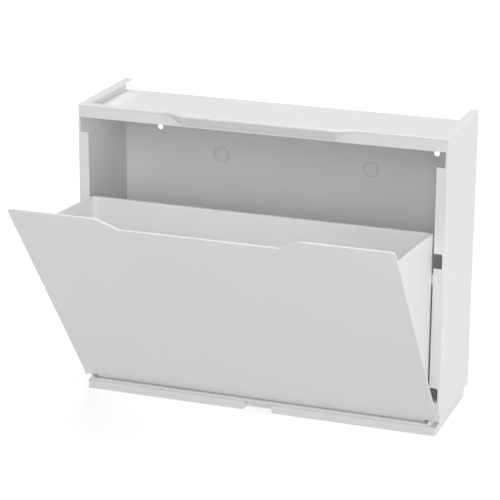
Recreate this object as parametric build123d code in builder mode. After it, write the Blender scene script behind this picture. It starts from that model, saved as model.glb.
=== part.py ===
"""Wall-standing tilt-out shoe cabinet in moulded plastic, one stackable module.

Frame: millimetres, +Z up, X across the width, the front faces -Y.
The origin lies on the underside, at mid width and at mid depth of the body.
The tilting flap is modelled open, resting on its stops.
"""
from math import cos, radians, sin
import os

from build123d import *

# ---- driving dimensions -------------------------------------------------
WIDTH = 510.0
DEPTH = 160.0
HEIGHT = 410.0
WALL = 2.5
OPEN_ANGLE = 37.3

HALF_WIDTH = WIDTH / 2
FRONT = -DEPTH / 2
REAR = DEPTH / 2
INNER_X = HALF_WIDTH - WALL
INNER_FRONT = FRONT + WALL
INNER_REAR = REAR - WALL

# Plinth, which slides into the top of the module underneath.
PLINTH_HALF_WIDTH = 249.8
PLINTH_HEIGHT = 12.5
PLINTH_FRONT = FRONT + 7
PLINTH_RIM = 8.0
PLINTH_RECESS_HALF = 20.0
PLINTH_RECESS_DEPTH = 14.0
PLINTH_SCREW_X = 215.0
PLINTH_SCREW_Y = (-40.0, 50.0)
PLINTH_SCREW_START = 0.4
PLINTH_SCREW_LENGTH = 12.0
PLINTH_CORNER = 1.0

# Base panel: the cabinet floor and the neck that stands on the plinth.
NECK_HALF_WIDTH = 243.2
NECK_FRONT = FRONT + 11.5
FLOOR_UNDERSIDE = 16.0
FLOOR_TOP = FLOOR_UNDERSIDE + WALL
BASE_WALL_TOP = 30.0
BASE_WALL_FRONT = -50.0
BASE_HORN_TOP = 22.0
BASE_HORN_DEPTH = 12.0

# Side panels.
SIDE_BOTTOM = 20.5
SWING_RELIEF_TOP = 34.0
SWING_RELIEF = 7.0
FLANGE_INNER_X = 241.2
FLANGE_TOP = 371.3
SLOT_HEIGHTS = ((51.0, 71.0), (235.8, 256.3))
SLOT_CORNER = 3.0
LIP_WIDTH = 11.0
LIP_THICKNESS = 3.0
LIP_UNDERSIDE = HEIGHT - LIP_THICKNESS
BACK_PAD_HEIGHTS = (65.0, 185.0, 365.0)
BACK_PAD_SIZE = 20.0
BACK_PAD_DEPTH = 6.0
BACK_SCREW_X = 248.2
LEDGE_UNDERSIDE = 383.5
LEDGE_THICKNESS = 2.5
LEDGE_Y = (-15.0, 60.0)
LEDGE_LENGTH = 14.0
DECK_SCREW_X = 247.0
FOOT_PEG_Y = (-30.0, 20.0, 65.0)
FOOT_PEG_Z = 26.5
FOOT_PEG_LENGTH = 6.5
FOOT_PEG_HEAD_RADIUS = 3.4
FOOT_PEG_HEAD_DEPTH = 1.6

# Top panel: a recessed deck behind a raised front rim with a swelling.
DECK_TOP = 394.0
DECK_UNDERSIDE = DECK_TOP - WALL
FASCIA_BOTTOM = 392.0
FASCIA_RECESS = 0.8
RIM_ROUND = 1.5
RIM_ROUND_STEPS = 3
SWELL = 10.3
SWELL_FLAT_HALF = 104.0
SWELL_END_HALF = 132.0
SWELL_STEPS = 9
SWELL_START_LOWEST = FASCIA_BOTTOM + 0.8
SWELL_START_HIGHEST = LIP_UNDERSIDE - 2.5
SWELL_END_Z = LIP_UNDERSIDE - 0.5
SWELL_GRIP_GAP = 1.3

# Back panel.
KEYHOLE_X = 200.4
KEYHOLE_Z = 345.0
KEYHOLE_RADIUS = 4.0
KEYHOLE_SLOT_RADIUS = 1.9
KEYHOLE_RISE = 9.0
RING_X = 108.5
RING_Z = 313.2
RING_RADIUS = 11.2
RING_LINE = 2.0
RING_DEPTH = 1.2

# Hinge of the flap.
PIVOT_Y = -74.0
PIVOT_Z = 35.0
PIN_RADIUS = 3.0
PIN_FIT = 0.02
PIN_RUNNING = 0.05
PIN_END_X = 251.5
CRADLE_RADIUS = 6.2
CRADLE_INNER_X = 243.5
CRADLE_REAR = -62.0
CRADLE_TOP = 50.0
CRADLE_CORNER = 3.0
CRADLE_SEAT_DROP = 2.0
CRADLE_CUT = 20.0
EAR_RADIUS = 6.4
EAR_OUTER_X = 240.5
PIN_HEAD = 1.8
PIN_HEAD_DEPTH = 1.6
PIN_TIP_CHAMFER = 0.8

# Flap front panel, measured in its own plane from its lower corners.
FLAP_HALF_WIDTH = 253.0
FLAP_LENGTH = 383.5
FLAP_THICKNESS = 2.5
FLAP_GAP = 0.75
FLAP_CLOSED_BOTTOM = 26.5
FLAP_CORNER = 6.0
FLAP_FOOT_CORNER = 2.0
TONGUE_HALF_WIDTH = 235.0
TONGUE_LENGTH = 4.0
GRIP_DEPTH = 18.5
GRIP_TOP_HALF = 132.0
GRIP_BOTTOM_HALF = 106.0
GRIP_ROUND = 12.0

# Bin carried by the flap.
BIN_HALF_WIDTH = 239.0
BIN_WALL = 2.2
BIN_REAR = -72.8
BIN_REAR_TOP = 281.5
BIN_FLOOR = 46.2
BIN_FRONT_TOP = 345.0
BIN_CORNER = 9.0
BIN_RIM = 5.0
BIN_RIM_HEIGHT = 4.0
BIN_FLANGE = 12.0
BIN_CHEEK_FOOT = 6.0
RIVET_X = 230.0
RIVET_HEIGHTS = (70.0, 160.0, 250.0, 330.0)
RIVET_RADIUS = 1.8
RIVET_HEAD_RADIUS = 4.0
RIVET_HEAD_DEPTH = 1.4
RIVET_SINK = 1.2
RIVET_CLEARANCE = 0.2
STOP_OUTER_X = 250.3
STOP_DEPTH = 4.7
STOP_HEIGHTS = (212.0, 228.0)
STOP_CORNER = 1.5
STOP_GAP = 0.2

# Fasteners.
SCREW_RADIUS = 2.0
SCREW_HEAD_RADIUS = 4.0
SCREW_HEAD_DEPTH = 1.8
SCREW_CLEARANCE = 0.2
HEAD_CLEARANCE = 0.4
PLINTH_HEAD_DEPTH = 1.6
THREAD_RADIUS = 1.7
BACK_SCREW_LENGTH = 8.0
BACK_SCREW_SINK = 0.2
DECK_SCREW_LENGTH = 7.5
DECK_SCREW_HEAD_RADIUS = 3.6
BOSS_RADIUS = 4.8

EDGE = 0.6
LIP_EDGE = 1.0
OVERCUT = 1.0
FAR_ABOVE = 400.0

os.makedirs("parts", exist_ok=True)


def save(part, name):
    """Label one finished piece and write it."""
    part.label = name
    export_step(part, f"parts/{name}.step")


# ---- the flap's own plane -----------------------------------------------
TILT = radians(OPEN_ANGLE)
CLOSED_FACE_Y = FRONT - FLAP_GAP - FLAP_THICKNESS


def swing(y, z):
    """Carry a point of the closed flap to where it lies when the flap is open."""
    dy = y - PIVOT_Y
    dz = z - PIVOT_Z
    return (PIVOT_Y + dy * cos(TILT) - dz * sin(TILT), PIVOT_Z + dy * sin(TILT) + dz * cos(TILT))


FACE_Y, FACE_Z = swing(CLOSED_FACE_Y, FLAP_CLOSED_BOTTOM)
BACK_Y, BACK_Z = swing(CLOSED_FACE_Y + FLAP_THICKNESS, FLAP_CLOSED_BOTTOM)
OUTWARD = (0, -cos(TILT), -sin(TILT))
flap_face = Plane(origin=(0, FACE_Y, FACE_Z), x_dir=(1, 0, 0), z_dir=OUTWARD)
flap_back = Plane(origin=(0, BACK_Y, BACK_Z), x_dir=(1, 0, 0), z_dir=OUTWARD)


def behind_flap(height, offset=0.0):
    """A point of the YZ plane, up the flap's back face and off it into the bin."""
    y = BACK_Y - height * sin(TILT) + offset * cos(TILT)
    z = BACK_Z + height * cos(TILT) + offset * sin(TILT)
    return (y, z)


def behind_flap_at(z, offset=0.0):
    """The point behind the flap that lies at a given height above the floor."""
    height = (z - BACK_Z - offset * sin(TILT)) / cos(TILT)
    return behind_flap(height, offset)


# ---- plinth tray ---------------------------------------------------------
def plinth_outline(inset):
    """Outline of the plinth with the shallow recess in the middle of its front."""
    front = PLINTH_FRONT + inset
    rear = REAR - inset
    side = PLINTH_HALF_WIDTH - inset
    recess = PLINTH_RECESS_HALF + inset
    recess_rear = PLINTH_FRONT + PLINTH_RECESS_DEPTH + inset
    return [
        (-side, rear),
        (-side, front),
        (-recess, front),
        (-recess, recess_rear),
        (recess, recess_rear),
        (recess, front),
        (side, front),
        (side, rear),
    ]


with BuildPart() as plinth_tray:
    with BuildSketch() as plinth_plan:
        with BuildLine():
            Polyline(*plinth_outline(0), close=True)
        make_face()
        fillet(plinth_plan.vertices().group_by(Axis.Y)[0], PLINTH_CORNER)
    extrude(amount=PLINTH_HEIGHT)
    with BuildSketch(Plane.XY.offset(WALL)):
        with BuildLine():
            Polyline(*plinth_outline(WALL), close=True)
        make_face()
    extrude(amount=PLINTH_HEIGHT - 2 * WALL, mode=Mode.SUBTRACT)
    with BuildSketch(Plane.XY.offset(WALL)):
        with BuildLine():
            Polyline(*plinth_outline(PLINTH_RIM), close=True)
        make_face()
    extrude(amount=PLINTH_HEIGHT, mode=Mode.SUBTRACT)
    underside = plinth_tray.faces().sort_by(Axis.Z)[0]
    chamfer(underside.outer_wire().edges(), EDGE)
    with Locations(Plane(origin=(0, 0, 0), x_dir=(1, 0, 0), z_dir=(0, 0, -1))):
        for screw_y in PLINTH_SCREW_Y:
            with Locations((-PLINTH_SCREW_X, -screw_y), (PLINTH_SCREW_X, -screw_y)):
                CounterSinkHole(SCREW_RADIUS + SCREW_CLEARANCE, SCREW_HEAD_RADIUS + SCREW_CLEARANCE, WALL)
save(plinth_tray.part, "plinth_tray")

# ---- base panel ----------------------------------------------------------
with BuildPart() as base_panel:
    with BuildSketch(Plane.XY.offset(FLOOR_UNDERSIDE)):
        with Locations((0, (FRONT + INNER_REAR) / 2)):
            Rectangle(2 * NECK_HALF_WIDTH, INNER_REAR - FRONT)
    extrude(amount=WALL)
    # The neck: a ring of skirt standing on the plinth's rim.
    with BuildSketch(Plane.XY.offset(PLINTH_HEIGHT)):
        with Locations((0, (NECK_FRONT + INNER_REAR) / 2)):
            Rectangle(2 * NECK_HALF_WIDTH, INNER_REAR - NECK_FRONT)
            Rectangle(
                2 * (NECK_HALF_WIDTH - WALL), INNER_REAR - NECK_FRONT - 2 * WALL, mode=Mode.SUBTRACT
            )
    extrude(amount=FLOOR_UNDERSIDE - PLINTH_HEIGHT)
    # Side walls above the floor, and the low horns at the front corners.
    for side in (-1, 1):
        with BuildSketch(Plane.YZ.offset(side * (NECK_HALF_WIDTH - WALL / 2))):
            with Locations(((BASE_WALL_FRONT + INNER_REAR) / 2, (FLOOR_TOP + BASE_WALL_TOP) / 2)):
                Rectangle(INNER_REAR - BASE_WALL_FRONT, BASE_WALL_TOP - FLOOR_TOP)
            with Locations((FRONT + BASE_HORN_DEPTH / 2, (FLOOR_TOP + BASE_HORN_TOP) / 2)):
                Rectangle(BASE_HORN_DEPTH, BASE_HORN_TOP - FLOOR_TOP)
        extrude(amount=WALL / 2, both=True)
        with BuildSketch(Plane.YZ.offset(side * (NECK_HALF_WIDTH - WALL / 2))):
            with Locations([(peg_y, FOOT_PEG_Z) for peg_y in FOOT_PEG_Y]):
                Circle(SCREW_RADIUS)
        extrude(amount=WALL, both=True, mode=Mode.SUBTRACT)
    # Bosses that take the plinth's screws.
    with BuildSketch(Plane.XY.offset(WALL)):
        for screw_y in PLINTH_SCREW_Y:
            with Locations((-PLINTH_SCREW_X, screw_y), (PLINTH_SCREW_X, screw_y)):
                Circle(BOSS_RADIUS)
                Circle(SCREW_RADIUS, mode=Mode.SUBTRACT)
    extrude(amount=FLOOR_UNDERSIDE - WALL)
save(base_panel.part, "base_panel")

# ---- plinth screws -------------------------------------------------------
with BuildPart() as plinth_screws:
    for screw_y in PLINTH_SCREW_Y:
        for screw_x in (-PLINTH_SCREW_X, PLINTH_SCREW_X):
            with Locations((screw_x, screw_y, PLINTH_SCREW_START)):
                Cone(
                    SCREW_HEAD_RADIUS - HEAD_CLEARANCE,
                    SCREW_RADIUS,
                    PLINTH_HEAD_DEPTH,
                    align=(Align.CENTER, Align.CENTER, Align.MIN),
                )
                Cylinder(SCREW_RADIUS, PLINTH_SCREW_LENGTH, align=(Align.CENTER, Align.CENTER, Align.MIN))
save(plinth_screws.part, "plinth_screws")

# ---- side panels ---------------------------------------------------------
with BuildPart() as side_panel_right:
    # Outer wall, cut back at the foot where the flap's lower edge swings in.
    with BuildSketch(Plane.YZ.offset(INNER_X)):
        with BuildLine():
            Polyline(
                (FRONT + SWING_RELIEF, SIDE_BOTTOM),
                (REAR, SIDE_BOTTOM),
                (REAR, HEIGHT),
                (FRONT + LIP_WIDTH, HEIGHT),
                (FRONT + LIP_WIDTH, LIP_UNDERSIDE),
                (INNER_FRONT, LIP_UNDERSIDE),
                (INNER_FRONT, FASCIA_BOTTOM),
                (FRONT, FASCIA_BOTTOM),
                (FRONT, SWING_RELIEF_TOP),
                (FRONT + SWING_RELIEF, SWING_RELIEF_TOP),
                close=True,
            )
        make_face()
    extrude(amount=WALL)
    # Front flange with the two slots that let the flap's pins and stops in.
    with BuildSketch(Plane.XZ.offset(-INNER_FRONT)) as flange:
        with Locations(((FLANGE_INNER_X + INNER_X) / 2, (SWING_RELIEF_TOP + FLANGE_TOP) / 2)):
            Rectangle(INNER_X - FLANGE_INNER_X, FLANGE_TOP - SWING_RELIEF_TOP)
        for slot_bottom, slot_top in SLOT_HEIGHTS:
            with Locations(((FLANGE_INNER_X + INNER_X) / 2, (slot_bottom + slot_top) / 2)):
                Rectangle(INNER_X - FLANGE_INNER_X, slot_top - slot_bottom, mode=Mode.SUBTRACT)
    extrude(amount=WALL)
    # Rounded upper corner of each slot, where the flange meets the wall.
    with BuildSketch(Plane.XZ.offset(-INNER_FRONT)):
        for slot_bottom, slot_top in SLOT_HEIGHTS:
            with Locations((INNER_X - SLOT_CORNER / 2, slot_top - SLOT_CORNER / 2)):
                Rectangle(SLOT_CORNER, SLOT_CORNER)
            with Locations((INNER_X - SLOT_CORNER, slot_top - SLOT_CORNER)):
                Circle(SLOT_CORNER, mode=Mode.SUBTRACT)
    extrude(amount=WALL)
    # Lip along the top, overhanging the recessed deck.
    with BuildSketch(Plane.XZ.offset(-(FRONT + LIP_WIDTH))):
        with Locations((HALF_WIDTH - LIP_WIDTH / 2, HEIGHT - LIP_THICKNESS / 2)):
            Rectangle(LIP_WIDTH, LIP_THICKNESS)
    extrude(amount=-(REAR - FRONT - LIP_WIDTH))
    # Foot: a return to the base panel's wall and a web that pegs to it.
    with BuildSketch(Plane.XZ.offset(-BASE_WALL_FRONT)):
        with BuildLine():
            Polyline(
                (INNER_X, SIDE_BOTTOM),
                (NECK_HALF_WIDTH, SIDE_BOTTOM),
                (NECK_HALF_WIDTH, BASE_WALL_TOP),
                (NECK_HALF_WIDTH + WALL, BASE_WALL_TOP),
                (NECK_HALF_WIDTH + WALL, SIDE_BOTTOM + WALL),
                (INNER_X, SIDE_BOTTOM + WALL),
                close=True,
            )
        make_face()
    extrude(amount=-(INNER_REAR - BASE_WALL_FRONT))
    with BuildSketch(Plane.YZ.offset(NECK_HALF_WIDTH + WALL / 2)):
        with Locations([(peg_y, FOOT_PEG_Z) for peg_y in FOOT_PEG_Y]):
            Circle(SCREW_RADIUS)
    extrude(amount=WALL / 2, both=True, mode=Mode.SUBTRACT)
    # Pads for the back panel's screws.
    with BuildSketch(Plane.XZ.offset(-INNER_REAR)):
        for pad_z in BACK_PAD_HEIGHTS:
            with Locations((BACK_SCREW_X, pad_z)):
                Rectangle(2 * (INNER_X - BACK_SCREW_X), BACK_PAD_SIZE)
                Circle(THREAD_RADIUS, mode=Mode.SUBTRACT)
    extrude(amount=BACK_PAD_DEPTH)
    # Ledges that carry the top panel's bosses.
    with BuildSketch(Plane.XY.offset(LEDGE_UNDERSIDE)):
        for ledge_y in LEDGE_Y:
            with Locations((DECK_SCREW_X, ledge_y)):
                Rectangle(2 * (INNER_X - DECK_SCREW_X), LEDGE_LENGTH)
                Circle(SCREW_RADIUS, mode=Mode.SUBTRACT)
    extrude(amount=LEDGE_THICKNESS)
    outer_edges = side_panel_right.edges().filter_by_position(Axis.X, HALF_WIDTH, HALF_WIDTH)
    fillet(outer_edges.filter_by(Axis.Y).sort_by(Axis.Z)[-1], LIP_EDGE)
save(side_panel_right.part, "side_panel_right")

with BuildPart() as side_panel_left:
    mirror(objects=side_panel_right.part, about=Plane.YZ)
save(side_panel_left.part, "side_panel_left")

# ---- foot pegs -----------------------------------------------------------
with BuildPart() as foot_pegs:
    for side in (-1, 1):
        head_plane = Plane(
            origin=(side * (NECK_HALF_WIDTH - WALL), 0, 0), x_dir=(0, 1, 0), z_dir=(side, 0, 0)
        )
        with BuildSketch(head_plane):
            with Locations([(peg_y, side * FOOT_PEG_Z) for peg_y in FOOT_PEG_Y]):
                Circle(SCREW_RADIUS)
        extrude(amount=FOOT_PEG_LENGTH)
        with BuildSketch(head_plane):
            with Locations([(peg_y, side * FOOT_PEG_Z) for peg_y in FOOT_PEG_Y]):
                Circle(FOOT_PEG_HEAD_RADIUS)
        extrude(amount=-FOOT_PEG_HEAD_DEPTH)
save(foot_pegs.part, "foot_pegs")

# ---- top panel -----------------------------------------------------------


def smooth(share):
    """Rise from 0 to 1 with level ends."""
    return share * share * (3 - 2 * share)


def rim_section(swell, start_z):
    """Outline of the front rim's section, with its upper front edge rounded in facets.

    The fascia lies a little behind the lip and leans forward to it above start_z.
    """
    fascia = FRONT + FASCIA_RECESS
    outline = [
        (FRONT + LIP_WIDTH, HEIGHT),
        (FRONT + LIP_WIDTH, LIP_UNDERSIDE),
        (INNER_FRONT - swell, LIP_UNDERSIDE),
        (INNER_FRONT, start_z),
        (INNER_FRONT, FASCIA_BOTTOM),
        (fascia, FASCIA_BOTTOM),
        (fascia, start_z),
        (fascia - swell, SWELL_END_Z),
        (FRONT - swell, SWELL_END_Z + FASCIA_RECESS),
    ]
    for step in range(RIM_ROUND_STEPS + 1):
        turn = radians(90 * step / RIM_ROUND_STEPS)
        y = FRONT - swell + RIM_ROUND * (1 - cos(turn))
        z = HEIGHT - RIM_ROUND * (1 - sin(turn))
        outline.append((y, z))
    return outline


def swell_stations():
    """Places across the right half of the rim, with the swelling's reach and start."""
    slope = GRIP_DEPTH / (GRIP_TOP_HALF - GRIP_BOTTOM_HALF)
    stations = []
    for step in range(SWELL_STEPS + 1):
        share = step / SWELL_STEPS
        x = SWELL_FLAT_HALF + share * (SWELL_END_HALF - SWELL_FLAT_HALF)
        grip_edge = HEIGHT - GRIP_DEPTH + slope * (x - GRIP_BOTTOM_HALF) + SWELL_GRIP_GAP
        start_z = min(SWELL_START_HIGHEST, max(SWELL_START_LOWEST, grip_edge))
        stations.append((x, SWELL * smooth(1 - share), start_z))
    stations.append((HALF_WIDTH, 0.0, SWELL_START_HIGHEST))
    return stations


with BuildPart() as top_panel:
    right_half = swell_stations()
    left_half = [(-x, swell, start_z) for x, swell, start_z in reversed(right_half)]
    stations = left_half + right_half
    for span in zip(stations, stations[1:]):
        for x, swell, start_z in span:
            with BuildSketch(Plane.YZ.offset(x)):
                with BuildLine():
                    Polyline(*rim_section(swell, start_z), close=True)
                make_face()
        loft(ruled=True)
    # The recessed deck behind the rim.
    with BuildSketch(Plane.XY.offset(DECK_UNDERSIDE)):
        with Locations((0, (INNER_FRONT + REAR) / 2)):
            Rectangle(2 * INNER_X, REAR - INNER_FRONT)
    extrude(amount=WALL)
    # Bosses under the deck that stand on the side panels' ledges.
    with BuildSketch(Plane.XY.offset(LEDGE_UNDERSIDE + LEDGE_THICKNESS)):
        for boss_y in LEDGE_Y:
            with Locations((-DECK_SCREW_X, boss_y), (DECK_SCREW_X, boss_y)):
                Circle(BOSS_RADIUS)
                Circle(SCREW_RADIUS, mode=Mode.SUBTRACT)
    extrude(amount=DECK_UNDERSIDE - LEDGE_UNDERSIDE - LEDGE_THICKNESS)
save(top_panel.part, "top_panel")

# ---- deck screws ---------------------------------------------------------
with BuildPart() as deck_screws:
    for screw_y in LEDGE_Y:
        for screw_x in (-DECK_SCREW_X, DECK_SCREW_X):
            with Locations((screw_x, screw_y, LEDGE_UNDERSIDE)):
                Cylinder(SCREW_RADIUS, DECK_SCREW_LENGTH, align=(Align.CENTER, Align.CENTER, Align.MIN))
                Cylinder(
                    DECK_SCREW_HEAD_RADIUS,
                    SCREW_HEAD_DEPTH,
                    align=(Align.CENTER, Align.CENTER, Align.MAX),
                )
save(deck_screws.part, "deck_screws")

# ---- back panel ----------------------------------------------------------
with BuildPart() as back_panel:
    with BuildSketch(Plane.XZ.offset(-REAR)):
        with Locations((0, (SIDE_BOTTOM + DECK_UNDERSIDE) / 2)):
            Rectangle(2 * INNER_X, DECK_UNDERSIDE - SIDE_BOTTOM)
        with Locations((-KEYHOLE_X, KEYHOLE_Z), (KEYHOLE_X, KEYHOLE_Z)):
            Circle(KEYHOLE_RADIUS, mode=Mode.SUBTRACT)
            with Locations((0, KEYHOLE_RISE / 2)):
                Rectangle(2 * KEYHOLE_SLOT_RADIUS, KEYHOLE_RISE, mode=Mode.SUBTRACT)
            with Locations((0, KEYHOLE_RISE)):
                Circle(KEYHOLE_SLOT_RADIUS, mode=Mode.SUBTRACT)
    extrude(amount=WALL)
    # A shallow ring scored in the inner face on each side.
    with BuildSketch(Plane.XZ.offset(-INNER_REAR)):
        with Locations((-RING_X, RING_Z), (RING_X, RING_Z)):
            Circle(RING_RADIUS)
            Circle(RING_RADIUS - RING_LINE, mode=Mode.SUBTRACT)
    extrude(amount=-RING_DEPTH, mode=Mode.SUBTRACT)
    # The bottom edge hooks down behind the base panel.
    with BuildSketch(Plane.XZ.offset(-REAR)):
        with Locations((0, (PLINTH_HEIGHT + SIDE_BOTTOM) / 2)):
            Rectangle(2 * NECK_HALF_WIDTH, SIDE_BOTTOM - PLINTH_HEIGHT)
    extrude(amount=WALL)
    for screw_z in BACK_PAD_HEIGHTS:
        with Locations(Plane(origin=(0, REAR, 0), x_dir=(1, 0, 0), z_dir=(0, 1, 0))):
            with Locations((-BACK_SCREW_X, -screw_z), (BACK_SCREW_X, -screw_z)):
                CounterSinkHole(SCREW_RADIUS, SCREW_HEAD_RADIUS, WALL)
save(back_panel.part, "back_panel")

# ---- back screws ---------------------------------------------------------
with BuildPart() as back_screws:
    with Locations(Plane(origin=(0, REAR - BACK_SCREW_SINK, 0), x_dir=(1, 0, 0), z_dir=(0, -1, 0))):
        for screw_z in BACK_PAD_HEIGHTS:
            with Locations((-BACK_SCREW_X, screw_z), (BACK_SCREW_X, screw_z)):
                Cone(
                    SCREW_HEAD_RADIUS - HEAD_CLEARANCE,
                    THREAD_RADIUS,
                    SCREW_HEAD_DEPTH,
                    align=(Align.CENTER, Align.CENTER, Align.MIN),
                )
                Cylinder(THREAD_RADIUS, BACK_SCREW_LENGTH, align=(Align.CENTER, Align.CENTER, Align.MIN))
save(back_screws.part, "back_screws")

# ---- hinge brackets ------------------------------------------------------
with BuildPart() as hinge_bracket_right:
    with BuildSketch(Plane.YZ.offset(CRADLE_INNER_X)):
        with Locations((PIVOT_Y, PIVOT_Z)):
            Circle(CRADLE_RADIUS)
        cradle_bottom = PIVOT_Z - CRADLE_RADIUS
        with Locations(((PIVOT_Y + CRADLE_REAR) / 2, (cradle_bottom + CRADLE_TOP) / 2)):
            Rectangle(CRADLE_REAR - PIVOT_Y, CRADLE_TOP - cradle_bottom)
        # The pin drops in from above and turns in the rounded seat.
        with Locations((PIVOT_Y, PIVOT_Z)):
            Circle(PIN_RADIUS + PIN_RUNNING, mode=Mode.SUBTRACT)
        with Locations((PIVOT_Y, PIVOT_Z + CRADLE_CUT)):
            Rectangle(2 * (PIN_RADIUS + PIN_RUNNING), 2 * CRADLE_CUT, mode=Mode.SUBTRACT)
        with Locations((PIVOT_Y - CRADLE_CUT / 2, PIVOT_Z - CRADLE_SEAT_DROP + CRADLE_CUT / 2)):
            Rectangle(CRADLE_CUT, CRADLE_CUT, mode=Mode.SUBTRACT)
        # Flush with the back of the side panel's front flange.
        with Locations((INNER_FRONT - CRADLE_CUT / 2, PIVOT_Z)):
            Rectangle(CRADLE_CUT, 2 * CRADLE_CUT, mode=Mode.SUBTRACT)
    extrude(amount=INNER_X - CRADLE_INNER_X)
    fillet(hinge_bracket_right.edges().filter_by(Axis.X).group_by(Axis.Y)[-1], CRADLE_CORNER)
save(hinge_bracket_right.part, "hinge_bracket_right")

with BuildPart() as hinge_bracket_left:
    mirror(objects=hinge_bracket_right.part, about=Plane.YZ)
save(hinge_bracket_left.part, "hinge_bracket_left")

# ---- flap front panel ----------------------------------------------------
with BuildPart() as front_panel:
    with BuildSketch(flap_back) as flap_outline:
        with BuildLine():
            Polyline(
                (-TONGUE_HALF_WIDTH, -TONGUE_LENGTH),
                (TONGUE_HALF_WIDTH, -TONGUE_LENGTH),
                (TONGUE_HALF_WIDTH, 0),
                (FLAP_HALF_WIDTH, 0),
                (FLAP_HALF_WIDTH, FLAP_LENGTH),
                (GRIP_TOP_HALF, FLAP_LENGTH),
                (GRIP_BOTTOM_HALF, FLAP_LENGTH - GRIP_DEPTH),
                (-GRIP_BOTTOM_HALF, FLAP_LENGTH - GRIP_DEPTH),
                (-GRIP_TOP_HALF, FLAP_LENGTH),
                (-FLAP_HALF_WIDTH, FLAP_LENGTH),
                (-FLAP_HALF_WIDTH, 0),
                (-TONGUE_HALF_WIDTH, 0),
                close=True,
            )
        make_face()
        by_height = flap_outline.vertices().group_by(Axis.Y)
        top_vertices = by_height[-1].sort_by(Axis.X)
        fillet([top_vertices[0], top_vertices[-1]], FLAP_CORNER)
        grip_vertices = flap_outline.vertices().filter_by_position(
            Axis.X, -GRIP_TOP_HALF - OVERCUT, GRIP_TOP_HALF + OVERCUT
        )
        fillet(grip_vertices, GRIP_ROUND)
        foot_vertices = flap_outline.vertices().filter_by_position(Axis.Y, -OVERCUT, OVERCUT)
        fillet([foot_vertices.sort_by(Axis.X)[0], foot_vertices.sort_by(Axis.X)[-1]], FLAP_FOOT_CORNER)
    extrude(amount=FLAP_THICKNESS)
    front_face = front_panel.faces().sort_by(Axis.Y)[0]
    fillet(front_face.outer_wire().edges(), EDGE)
    with BuildSketch(flap_back):
        for rivet_height in RIVET_HEIGHTS:
            with Locations((-RIVET_X, rivet_height), (RIVET_X, rivet_height)):
                Circle(RIVET_RADIUS)
    extrude(amount=RIVET_SINK + RIVET_CLEARANCE, mode=Mode.SUBTRACT)
save(front_panel.part, "front_panel")

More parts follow.
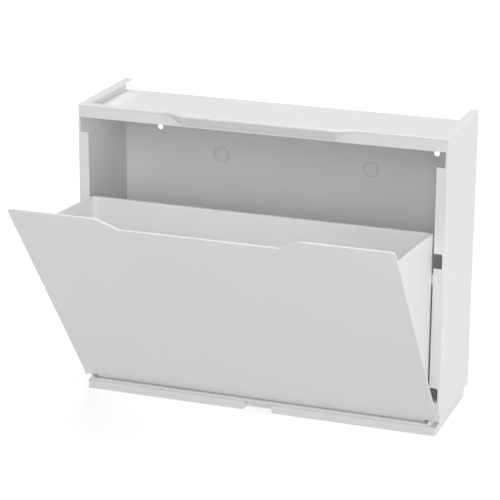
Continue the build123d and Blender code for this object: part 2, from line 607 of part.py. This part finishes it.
# ---- bin -----------------------------------------------------------------
with BuildPart() as drawer_bin:
    # Wedge-shaped outside, rounded at the two rear corners.
    with BuildSketch(Plane.YZ):
        with BuildLine():
            Polyline(
                (BIN_REAR, BIN_REAR_TOP),
                (BIN_REAR, BIN_FLOOR - BIN_WALL),
                behind_flap_at(BIN_FLOOR - BIN_WALL),
                behind_flap(BIN_FRONT_TOP),
                close=True,
            )
        make_face()
    extrude(amount=BIN_HALF_WIDTH, both=True)
    rear_corners = drawer_bin.edges().filter_by(Axis.Z).group_by(Axis.Y)[-1]
    fillet(rear_corners, BIN_CORNER - BIN_WALL)
    # Inside, down to the floor and behind the front flange.
    with BuildSketch(Plane.YZ):
        with BuildLine():
            Polyline(
                (BIN_REAR - BIN_WALL, FAR_ABOVE),
                (BIN_REAR - BIN_WALL, BIN_FLOOR),
                behind_flap_at(BIN_FLOOR, BIN_WALL),
                behind_flap_at(FAR_ABOVE, BIN_WALL),
                close=True,
            )
        make_face()
    hollow = extrude(amount=BIN_HALF_WIDTH - BIN_WALL, both=True, mode=Mode.PRIVATE)
    inner_corners = hollow.edges().filter_by(Axis.Z).group_by(Axis.Y)[-1]
    add(hollow.fillet(BIN_CORNER, inner_corners), mode=Mode.SUBTRACT)
    # The flange leaves the flap's back bare except for a border.
    with BuildSketch(Plane.YZ):
        with BuildLine():
            Polyline(
                behind_flap_at(BIN_FLOOR + BIN_FLANGE, BIN_WALL + OVERCUT),
                behind_flap_at(BIN_FLOOR + BIN_FLANGE, -OVERCUT),
                behind_flap_at(FAR_ABOVE, -OVERCUT),
                behind_flap_at(FAR_ABOVE, BIN_WALL + OVERCUT),
                close=True,
            )
        make_face()
    extrude(amount=BIN_HALF_WIDTH - BIN_FLANGE, both=True, mode=Mode.SUBTRACT)
    # Thickened rim along the rear wall.
    with BuildSketch(Plane.YZ):
        with Locations((BIN_REAR - BIN_RIM / 2, BIN_REAR_TOP - BIN_RIM_HEIGHT / 2)):
            Rectangle(BIN_RIM, BIN_RIM_HEIGHT)
    extrude(amount=BIN_HALF_WIDTH - BIN_CORNER, both=True)
    # Cheeks that carry the hinge pins under the floor.
    for side in (-1, 1):
        with BuildSketch(Plane.YZ.offset(side * (BIN_HALF_WIDTH - BIN_WALL / 2))):
            with BuildLine():
                Polyline(
                    (BIN_REAR, BIN_FLOOR),
                    (BIN_REAR, PIVOT_Z),
                    behind_flap(BIN_CHEEK_FOOT),
                    behind_flap_at(BIN_FLOOR),
                    close=True,
                )
            make_face()
        extrude(amount=BIN_WALL / 2, both=True)
        with BuildSketch(Plane.YZ.offset(side * EAR_OUTER_X)):
            with Locations((PIVOT_Y, PIVOT_Z)):
                Circle(EAR_RADIUS)
        extrude(amount=-side * (EAR_OUTER_X - BIN_HALF_WIDTH + BIN_WALL))
        # Stop lug that meets the back of the cabinet's front flange.
        with BuildSketch(Plane.YZ.offset(side * (BIN_HALF_WIDTH - OVERCUT))):
            lug_y = INNER_FRONT + STOP_GAP + STOP_DEPTH / 2
            with Locations((lug_y, sum(STOP_HEIGHTS) / 2)):
                RectangleRounded(STOP_DEPTH, STOP_HEIGHTS[1] - STOP_HEIGHTS[0], STOP_CORNER)
        extrude(amount=side * (STOP_OUTER_X - BIN_HALF_WIDTH + OVERCUT))
    with BuildSketch(Plane.YZ):
        with Locations((PIVOT_Y, PIVOT_Z)):
            Circle(PIN_RADIUS + PIN_FIT)
    extrude(amount=PIN_END_X, both=True, mode=Mode.SUBTRACT)
    with BuildSketch(flap_back):
        for rivet_height in RIVET_HEIGHTS:
            with Locations((-RIVET_X, rivet_height), (RIVET_X, rivet_height)):
                Circle(RIVET_RADIUS)
    extrude(amount=-BIN_WALL - OVERCUT, mode=Mode.SUBTRACT)
save(drawer_bin.part, "drawer_bin")

# ---- rivets between bin and front panel ----------------------------------
with BuildPart() as flap_rivets:
    with BuildSketch(flap_back.offset(-BIN_WALL)):
        for rivet_height in RIVET_HEIGHTS:
            with Locations((-RIVET_X, rivet_height), (RIVET_X, rivet_height)):
                Circle(RIVET_RADIUS)
    extrude(amount=BIN_WALL + RIVET_SINK)
    with BuildSketch(flap_back.offset(-BIN_WALL)):
        for rivet_height in RIVET_HEIGHTS:
            with Locations((-RIVET_X, rivet_height), (RIVET_X, rivet_height)):
                Circle(RIVET_HEAD_RADIUS)
    extrude(amount=-RIVET_HEAD_DEPTH)
save(flap_rivets.part, "flap_rivets")

# ---- hinge pins ----------------------------------------------------------
with BuildPart() as hinge_pin_right:
    with BuildSketch(Plane.YZ.offset(BIN_HALF_WIDTH - BIN_WALL)):
        with Locations((PIVOT_Y, PIVOT_Z)):
            Circle(PIN_RADIUS)
    extrude(amount=PIN_END_X - BIN_HALF_WIDTH + BIN_WALL)
    with BuildSketch(Plane.YZ.offset(BIN_HALF_WIDTH - BIN_WALL)):
        with Locations((PIVOT_Y, PIVOT_Z)):
            Circle(PIN_RADIUS + PIN_HEAD)
    extrude(amount=-PIN_HEAD_DEPTH)
    chamfer(hinge_pin_right.edges().sort_by(Axis.X)[-1], PIN_TIP_CHAMFER)
save(hinge_pin_right.part, "hinge_pin_right")

with BuildPart() as hinge_pin_left:
    mirror(objects=hinge_pin_right.part, about=Plane.YZ)
save(hinge_pin_left.part, "hinge_pin_left")

flap_top = FACE_Z + FLAP_LENGTH * cos(TILT)
flap_reach = FACE_Y - FLAP_LENGTH * sin(TILT)
print(f"flap foot y {FACE_Y:.2f} z {FACE_Z:.2f}, flap top y {flap_reach:.2f} z {flap_top:.2f}")
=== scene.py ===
"""Looks of the tilt-out shoe cabinet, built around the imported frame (metres)."""
import math

import bpy
from mathutils import Matrix, Vector

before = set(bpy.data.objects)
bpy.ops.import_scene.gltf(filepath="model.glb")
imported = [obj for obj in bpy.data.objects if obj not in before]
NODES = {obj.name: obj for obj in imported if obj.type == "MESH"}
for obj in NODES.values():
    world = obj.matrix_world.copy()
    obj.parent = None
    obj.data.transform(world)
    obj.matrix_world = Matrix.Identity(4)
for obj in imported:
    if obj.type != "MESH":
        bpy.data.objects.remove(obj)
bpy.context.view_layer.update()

# ---- camera, as the photograph was taken ---------------------------------
VIEW_AZIMUTH = math.radians(19.54)
VIEW_ELEVATION = math.radians(18.04)
VIEW_ROLL = math.radians(0.36)
VIEW_DISTANCE = 2.910
VIEW_TARGET = Vector((0.0, 0.0, 0.205))
VIEW_SLIDE = Vector((-0.0359, 0.0040))
LENS_MM = 153.7
SENSOR_MM = 36.0
SIGHT_LIMIT = 300.0

# ---- studio --------------------------------------------------------------
FLOOR_SIZE = 200.0
FLOOR_HEIGHT = -0.0005
FLOOR_TONE = 0.96
FLOOR_NEAR = 1.2
FLOOR_FAR = 4.0
FLOOR_GLOW = 0.42
FLOOR_GLOW_FAR = 1.0
GROUND_LIGHT = 0.59
SKY_LEFT = 0.18
SKY_RIGHT = 0.62
HORIZON_BLUR = 0.02
WHITE = (1, 1, 1, 1)

# Each soft box: name, place, target, side of its square, watts.
SOFT_BOXES = (
    ("overhead", (0.2, 0.3, 3.0), (0, 0, 0.3), 3.0, 66),
    ("high_front", (0.6, -3.4, 1.6), (0, 0, 0.25), 1.6, 38),
    ("low_right", (2.6, -0.6, 0.35), (0, 0, 0.1), 0.6, 10),
)

# ---- surfaces ------------------------------------------------------------
CLOUD_SCALE = 9.0
CLOUD_DETAIL = 4.0
CLOUD_SHADE_AT = 0.30
CLOUD_LIGHT_AT = 0.70
SPARK_SCALE = 1400.0
SPARK_DETAIL = 2.0
SPARK_HEIGHT = 0.0002
WAVE_SCALE = 14.0
WAVE_DETAIL = 1.0
WAVE_STRENGTH = 0.05
WAVE_HEIGHT = 0.002
GLOSSIER = 0.05
DULLER = 0.06
PLASTIC_IOR = 1.49

STEEL_SCALE = 900.0
STEEL_DETAIL = 2.0
STEEL_DARK = (0.50, 0.50, 0.52)
STEEL_LIGHT = (0.70, 0.70, 0.71)
STEEL_SMOOTH = 0.28
STEEL_ROUGH = 0.45

# Each plastic: name, light tone, shade tone, roughness, strength of its fine grain, nodes.
PLASTICS = (
    (
        "carcass_white", (0.87, 0.87, 0.87), (0.855, 0.855, 0.855), 0.42, 0.08,
        ("side_panel_left", "side_panel_right", "top_panel", "base_panel", "plinth_tray"),
    ),
    ("back_white", (0.94, 0.94, 0.94), (0.925, 0.925, 0.925), 0.46, 0.10, ("back_panel",)),
    ("flap_white", (0.86, 0.86, 0.86), (0.845, 0.845, 0.845), 0.38, 0.06, ("front_panel",)),
    ("bin_white", (0.90, 0.90, 0.90), (0.885, 0.885, 0.885), 0.45, 0.10, ("drawer_bin",)),
    (
        "hinge_white", (0.80, 0.80, 0.79), (0.76, 0.76, 0.75), 0.35, 0.04,
        (
            "hinge_pin_left", "hinge_pin_right", "hinge_bracket_left", "hinge_bracket_right",
            "foot_pegs", "flap_rivets",
        ),
    ),
)
SCREWS = ("deck_screws", "back_screws", "plinth_screws")

# The two rings scored in the front of the back panel, at equal distances from its middle;
# their grooves get painted shade.
RING_X = 0.1085
RING_Z = 0.3132
RING_FLOOR_Y = 0.0790
RING_RADIUS = 0.0102
RING_HALF_LINE = 0.0010
RING_SOFTNESS = 0.0004
# Colour factor of the shade painted into the ring grooves.
RING_SHADE = 0.85


# ---- shader nodes --------------------------------------------------------
def node_material(name):
    """A new material with its node tree and Principled shader."""
    material = bpy.data.materials.new(name)
    material.use_nodes = True
    tree = material.node_tree
    return material, tree, tree.nodes["Principled BSDF"]


def noise(tree, scale, detail):
    """Noise fixed to the object; gives its grey level."""
    place = tree.nodes.new("ShaderNodeTexCoord")
    texture = tree.nodes.new("ShaderNodeTexNoise")
    texture.inputs["Scale"].default_value = scale
    texture.inputs["Detail"].default_value = detail
    tree.links.new(place.outputs["Object"], texture.inputs["Vector"])
    return texture.outputs["Fac"]


def ramp(tree, value, low, high, low_at=0.0, high_at=1.0):
    """Turns a grey level into a colour between two tones."""
    tone = tree.nodes.new("ShaderNodeValToRGB")
    tone.color_ramp.elements[0].position = low_at
    tone.color_ramp.elements[0].color = (*low, 1)
    tone.color_ramp.elements[1].position = high_at
    tone.color_ramp.elements[1].color = (*high, 1)
    tree.links.new(value, tone.inputs["Fac"])
    return tone.outputs["Color"]


def remap(tree, value, low, high, to_low, to_high):
    """Carries a value from one range to another and holds it there."""
    node = tree.nodes.new("ShaderNodeMapRange")
    node.inputs["From Min"].default_value = low
    node.inputs["From Max"].default_value = high
    node.inputs["To Min"].default_value = to_low
    node.inputs["To Max"].default_value = to_high
    tree.links.new(value, node.inputs["Value"])
    return node.outputs["Result"]


def bump(tree, height, strength, distance):
    """A bump node that follows a height."""
    node = tree.nodes.new("ShaderNodeBump")
    node.inputs["Strength"].default_value = strength
    node.inputs["Distance"].default_value = distance
    tree.links.new(height, node.inputs["Height"])
    return node


def calc(tree, operation, *values):
    """Adds a Math node fed with numbers or with other nodes' sockets, and gives its result."""
    node = tree.nodes.new("ShaderNodeMath")
    node.operation = operation
    for socket, value in zip(node.inputs, values):
        if isinstance(value, float):
            socket.default_value = value
        else:
            tree.links.new(value, socket)
    return node.outputs["Value"]


# ---- materials -----------------------------------------------------------
def moulded_plastic(name, light, shade, roughness, grain):
    """Satin injection-moulded plastic: faint clouding, fine spark texture, slow waviness."""
    material, tree, shader = node_material(name)
    clouds = noise(tree, CLOUD_SCALE, CLOUD_DETAIL)
    tone = ramp(tree, clouds, shade, light, CLOUD_SHADE_AT, CLOUD_LIGHT_AT)
    rough = remap(tree, clouds, 0.0, 1.0, roughness - GLOSSIER, roughness + DULLER)
    slow = bump(tree, noise(tree, WAVE_SCALE, WAVE_DETAIL), WAVE_STRENGTH, WAVE_HEIGHT)
    fine = bump(tree, noise(tree, SPARK_SCALE, SPARK_DETAIL), grain, SPARK_HEIGHT)
    tree.links.new(slow.outputs["Normal"], fine.inputs["Normal"])
    tree.links.new(tone, shader.inputs["Base Color"])
    tree.links.new(rough, shader.inputs["Roughness"])
    tree.links.new(fine.outputs["Normal"], shader.inputs["Normal"])
    shader.inputs["IOR"].default_value = PLASTIC_IOR
    return material


def paint_ring_groove_shade(material):
    """Paints shade into the grooves of the two rings, on the front of the back panel only."""
    tree = material.node_tree
    base_color = tree.nodes["Principled BSDF"].inputs["Base Color"]
    tone = base_color.links[0].from_socket
    place = tree.nodes.new("ShaderNodeTexCoord")
    parts = tree.nodes.new("ShaderNodeSeparateXYZ")
    tree.links.new(place.outputs["Object"], parts.inputs["Vector"])
    across = calc(tree, "SUBTRACT", calc(tree, "ABSOLUTE", parts.outputs["X"]), RING_X)
    height = calc(tree, "SUBTRACT", parts.outputs["Z"], RING_Z)
    across_squared = calc(tree, "MULTIPLY", across, across)
    height_squared = calc(tree, "MULTIPLY", height, height)
    radius = calc(tree, "SQRT", calc(tree, "ADD", across_squared, height_squared))
    off_line = calc(tree, "ABSOLUTE", calc(tree, "SUBTRACT", radius, RING_RADIUS))
    line_inner = RING_HALF_LINE - RING_SOFTNESS
    line_outer = RING_HALF_LINE + RING_SOFTNESS
    groove_painted_shade = remap(tree, off_line, line_inner, line_outer, RING_SHADE, 1.0)
    behind = calc(tree, "GREATER_THAN", parts.outputs["Y"], RING_FLOOR_Y)
    shaded = tree.nodes.new("ShaderNodeVectorMath")
    shaded.operation = "SCALE"
    tree.links.new(tone, shaded.inputs["Vector"])
    tree.links.new(calc(tree, "MAXIMUM", groove_painted_shade, behind), shaded.inputs["Scale"])
    tree.links.new(shaded.outputs["Vector"], base_color)


def plated_steel():
    """Zinc-plated screw steel with a fine grain."""
    material, tree, shader = node_material("plated_steel")
    grain = noise(tree, STEEL_SCALE, STEEL_DETAIL)
    rough = remap(tree, grain, 0.0, 1.0, STEEL_SMOOTH, STEEL_ROUGH)
    tree.links.new(ramp(tree, grain, STEEL_DARK, STEEL_LIGHT), shader.inputs["Base Color"])
    tree.links.new(rough, shader.inputs["Roughness"])
    shader.inputs["Metallic"].default_value = 1.0
    return material


# ---- CAD nodes -----------------------------------------------------------
def dress(names, material):
    """Gives CAD nodes their material."""
    for name in names:
        slots = NODES[name].data.materials
        slots.clear()
        slots.append(material)


def dress_all():
    """Makes every material and puts it on its nodes."""
    for name, light, shade, roughness, grain, wearers in PLASTICS:
        material = moulded_plastic(name, light, shade, roughness, grain)
        if name == "back_white":
            # Painted shade in the grooves of the back panel's two rings.
            paint_ring_groove_shade(material)
        dress(wearers, material)
    dress(SCREWS, plated_steel())


# ---- camera and studio ---------------------------------------------------
def add_camera():
    """The camera looks along -back, with its own right and up turned by the roll."""
    back = Vector((
        math.sin(VIEW_AZIMUTH) * math.cos(VIEW_ELEVATION),
        -math.cos(VIEW_AZIMUTH) * math.cos(VIEW_ELEVATION),
        math.sin(VIEW_ELEVATION),
    ))
    level = Vector((math.cos(VIEW_AZIMUTH), math.sin(VIEW_AZIMUTH), 0.0))
    up = back.cross(level)
    right = level * math.cos(VIEW_ROLL) + up * math.sin(VIEW_ROLL)
    up = up * math.cos(VIEW_ROLL) - level * math.sin(VIEW_ROLL)
    place = VIEW_TARGET + back * VIEW_DISTANCE + right * VIEW_SLIDE.x + up * VIEW_SLIDE.y
    data = bpy.data.cameras.new("camera")
    data.lens = LENS_MM
    data.sensor_width = SENSOR_MM
    data.clip_end = SIGHT_LIMIT
    camera = bpy.data.objects.new("camera", data)
    turn = Matrix((right, up, back)).transposed().to_4x4()
    camera.matrix_world = Matrix.Translation(place) @ turn
    bpy.context.scene.collection.objects.link(camera)
    bpy.context.scene.camera = camera


def add_floor():
    """Wide pale floor that glows like a light table, more so far off.

    It takes no part in the soft light on the object: the world's lower half stands in for it.
    """
    bpy.ops.mesh.primitive_plane_add(size=FLOOR_SIZE, location=(0.0, 0.0, FLOOR_HEIGHT))
    floor = bpy.context.object
    floor.name = "floor"
    material, tree, shader = node_material("pale_floor")
    shader.inputs["Base Color"].default_value = (FLOOR_TONE, FLOOR_TONE, FLOOR_TONE, 1)
    shader.inputs["Roughness"].default_value = 1.0
    shader.inputs["Specular IOR Level"].default_value = 0.0
    shader.inputs["Emission Color"].default_value = WHITE
    place = tree.nodes.new("ShaderNodeTexCoord")
    distance = tree.nodes.new("ShaderNodeVectorMath")
    distance.operation = "LENGTH"
    tree.links.new(place.outputs["Object"], distance.inputs[0])
    away = distance.outputs["Value"]
    glow = remap(tree, away, FLOOR_NEAR, FLOOR_FAR, FLOOR_GLOW, FLOOR_GLOW_FAR)
    tree.links.new(glow, shader.inputs["Emission Strength"])
    floor.data.materials.append(material)
    floor.visible_diffuse = False
    floor.visible_shadow = False


def add_light(name, place, target, size, watts):
    """A square soft box that faces its target."""
    data = bpy.data.lights.new(name, "AREA")
    data.energy = watts
    data.size = size
    light = bpy.data.objects.new(name, data)
    light.location = place
    aim = Vector(place) - Vector(target)
    light.rotation_euler = aim.to_track_quat("Z", "Y").to_euler()
    bpy.context.scene.collection.objects.link(light)


def add_sky():
    """A white tent, brighter to the right, over ground that is bright all round."""
    world = bpy.data.worlds.new("studio")
    world.use_nodes = True
    tree = world.node_tree
    direction = tree.nodes.new("ShaderNodeTexCoord")
    parts = tree.nodes.new("ShaderNodeSeparateXYZ")
    tree.links.new(direction.outputs["Generated"], parts.inputs["Vector"])
    tent = remap(tree, parts.outputs["X"], 0.0, 1.0, SKY_LEFT, SKY_RIGHT)
    below = remap(tree, parts.outputs["Z"], HORIZON_BLUR, -HORIZON_BLUR, 0.0, 1.0)
    level = tree.nodes.new("ShaderNodeMix")
    level.inputs["B"].default_value = GROUND_LIGHT
    tree.links.new(below, level.inputs["Factor"])
    tree.links.new(tent, level.inputs["A"])
    background = tree.nodes["Background"]
    background.inputs["Color"].default_value = WHITE
    tree.links.new(level.outputs["Result"], background.inputs["Strength"])
    bpy.context.scene.world = world


def add_studio():
    """Floor, sky and soft boxes, seen without a film curve."""
    add_floor()
    add_sky()
    for name, place, target, size, watts in SOFT_BOXES:
        add_light(name, place, target, size, watts)
    bpy.context.scene.view_settings.view_transform = "Standard"


dress_all()
add_camera()
add_studio()
